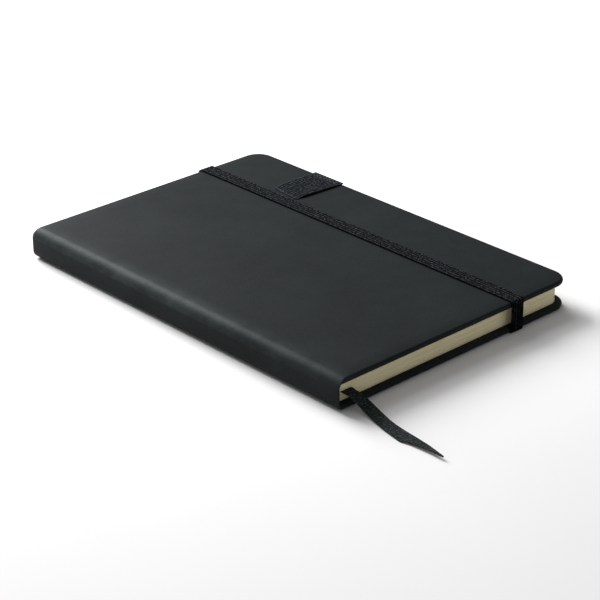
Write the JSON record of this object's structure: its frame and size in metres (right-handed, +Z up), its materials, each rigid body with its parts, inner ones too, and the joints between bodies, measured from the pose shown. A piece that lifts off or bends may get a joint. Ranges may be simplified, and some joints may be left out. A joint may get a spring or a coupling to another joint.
{
  "type": "sketchbook",
  "caption": "Hardcover sketchbook with rounded fore-edge corners, sewn cream pages, an elastic closure band, a flat pen loop and a ribbon marker",
  "frame": {"origin": "middle of the footprint of the closed book, on the surface that it lies on", "axes": "+X from the spine to the fore-edge, +Y from the tail to the head, +Z up, out of the front cover"},
  "size_m": [0.145, 0.2665, 0.0159],
  "materials": {
    "cover_skin": "matt soft-touch synthetic leather, dark charcoal",
    "spine_skin": "matt soft-touch synthetic leather, dark charcoal",
    "board": "grey bookbinding board",
    "endpaper": "uncoated ivory endpaper",
    "page": "uncoated cream sketching paper",
    "thread": "off-white sewing thread",
    "lining": "open-weave cotton lining",
    "strap": "matt synthetic leather strap",
    "strap_thread": "dark grey sewing thread",
    "elastic": "woven elastic webbing with lengthwise ribs",
    "ribbon": "woven satin-edged ribbon, dark charcoal"
  },
  "bodies": {
    "back_cover": {"back_board": "board", "back_cover_skin": "cover_skin", "back_pastedown": "endpaper", "back_flyleaf": "endpaper", "section_1": "page", "section_2": "page", "section_3": "page", "section_4": "page", "sewing_thread_rear": "thread", "spine_lining_rear": "lining", "elastic_tail_end": "elastic", "elastic_head_end": "elastic", "ribbon_inner": "ribbon", "ribbon_tail": "ribbon"},
    "spine": {"spine_liner": "board", "spine_skin": "spine_skin", "back_joint_fold": "spine_skin", "front_joint_fold": "spine_skin"},
    "front_pages": {"section_5": "page", "section_6": "page", "section_7": "page", "section_8": "page", "sewing_thread_front": "thread", "spine_lining_front": "lining", "front_flyleaf": "endpaper"},
    "front_cover": {"front_board": "board", "front_cover_skin": "cover_skin", "front_pastedown": "endpaper", "pen_loop": "strap", "pen_loop_stitches": "strap_thread"},
    "leaf_1": {"loose_leaf_1": "page"},
    "leaf_2": {"loose_leaf_2": "page"},
    "leaf_3": {"loose_leaf_3": "page"},
    "band_legs": {"elastic_tail_leg": "elastic", "elastic_head_leg": "elastic"},
    "band": {"elastic_run": "elastic"}
  },
  "joints": [
    {"name": "front_cover_fold", "type": "hinge", "parent": "spine", "child": "front_cover", "pos_m": [-0.0711, 0, 0.0135], "axis": [0, -1, 0], "range_deg": [0, 90]},
    {"name": "spine_fold", "type": "hinge", "parent": "back_cover", "child": "spine", "pos_m": [-0.0711, 0, 0.0018], "axis": [0, -1, 0], "range_deg": [0, 90]},
    {"name": "front_pages_turn", "type": "hinge", "parent": "back_cover", "child": "front_pages", "pos_m": [-0.0709, 0, 0.00765], "axis": [0, -1, 0], "range_deg": [0, 180]},
    {"name": "leaf_1_turn", "type": "hinge", "parent": "back_cover", "child": "leaf_1", "pos_m": [-0.0709, 0, 0.00759], "axis": [0, -1, 0], "range_deg": [0, 54]},
    {"name": "leaf_2_turn", "type": "hinge", "parent": "back_cover", "child": "leaf_2", "pos_m": [-0.0709, 0, 0.00779], "axis": [0, -1, 0], "range_deg": [0, 117]},
    {"name": "leaf_3_turn", "type": "hinge", "parent": "back_cover", "child": "leaf_3", "pos_m": [-0.0709, 0, 0.00799], "axis": [0, -1, 0], "range_deg": [0, 157.5]},
    {"name": "band_swing", "type": "hinge", "parent": "back_cover", "child": "band_legs", "pos_m": [0.0365, 0, 0.0045], "axis": [0, 1, 0], "range_deg": [0, 75], "stiffness_Nm_per_rad": 0.01},
    {"name": "band_stretch", "type": "slide", "parent": "band_legs", "child": "band", "axis": [0, 0, 1], "range_m": [0, 0.0354], "deforming": ["elastic_tail_leg", "elastic_head_leg"]}
  ],
  "couplings": [
    {"joint": "spine_fold", "follows": "front_cover_fold", "ratio": 1},
    {"joint": "front_pages_turn", "follows": "front_cover_fold", "ratio": 2},
    {"joint": "leaf_1_turn", "follows": "front_cover_fold", "ratio": 0.6},
    {"joint": "leaf_2_turn", "follows": "front_cover_fold", "ratio": 1.3},
    {"joint": "leaf_3_turn", "follows": "front_cover_fold", "ratio": 1.75},
    {"joint": "band_stretch", "follows": "band_swing", "m_per_rad": 0.027}
  ]
}
